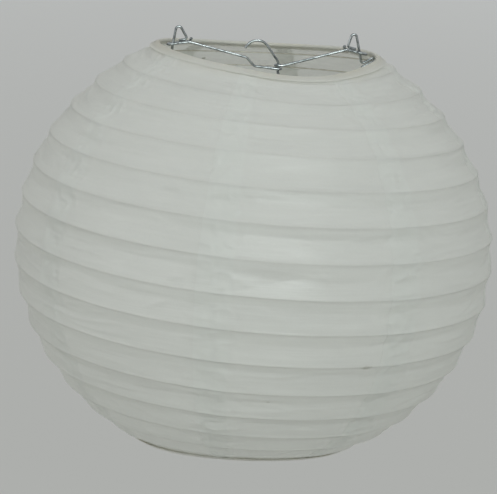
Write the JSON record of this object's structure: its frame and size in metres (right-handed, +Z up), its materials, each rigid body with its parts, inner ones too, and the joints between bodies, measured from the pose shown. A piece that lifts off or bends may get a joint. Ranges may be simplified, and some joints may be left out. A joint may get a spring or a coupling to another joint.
{
  "type": "round paper lantern with wire expander",
  "caption": "Round white paper lantern: glued paper gores over a spiral wire rib, held open by a bent wire expander with a hanging hook.",
  "frame": {"origin": "inside of the top of the hook, where the cord or nail that carries the lantern touches it", "axes": "+Z up, along the lantern's axis; the wire expander lies in the XZ plane, with the hook's open side towards -X"},
  "size_m": [0.303, 0.303, 0.2634],
  "materials": {
    "shade_paper": "satin",
    "hem_paper": "matte",
    "expander_wire": "polished",
    "ring_wire": "satin"
  },
  "bodies": {
    "hook": {"hook": "expander_wire"},
    "crossbar": {"left_arm": "expander_wire", "right_arm": "expander_wire"},
    "expander": {"expander_frame": "expander_wire"},
    "lower_shade": {"bottom_ring": "ring_wire", "bottom_hem": "hem_paper", "rib_spiral": "ring_wire", "paper_gore_1": "shade_paper", "paper_gore_2": "shade_paper", "paper_gore_3": "shade_paper", "paper_gore_4": "shade_paper", "paper_gore_5": "shade_paper", "paper_gore_6": "shade_paper", "paper_gore_7": "shade_paper", "paper_gore_8": "shade_paper"},
    "upper_ring": {"top_ring": "ring_wire", "top_hem": "hem_paper"}
  },
  "joints": [
    {"name": "hook_swivel", "type": "hinge", "parent": "hook", "child": "crossbar", "pos_m": [0.0139, 0, -0.016], "axis": [0, 0, 1], "continuous": true},
    {"name": "lantern_swing", "type": "hinge", "parent": "crossbar", "child": "expander", "pos_m": [0.0066, 0, -0.0033], "axis": [1, 0, 0], "range_deg": [-20, 20]},
    {"name": "shade_release", "type": "slide", "parent": "expander", "child": "lower_shade", "axis": [0, 0, -1], "range_m": [0, 0.27]},
    {"name": "shade_collapse", "type": "slide", "parent": "lower_shade", "child": "upper_ring", "axis": [0, 0, -1], "range_m": [0, 0.229], "deforming": ["paper_gore_1", "paper_gore_2", "paper_gore_3", "paper_gore_4", "paper_gore_5", "paper_gore_6", "paper_gore_7", "paper_gore_8", "rib_spiral"]}
  ]
}
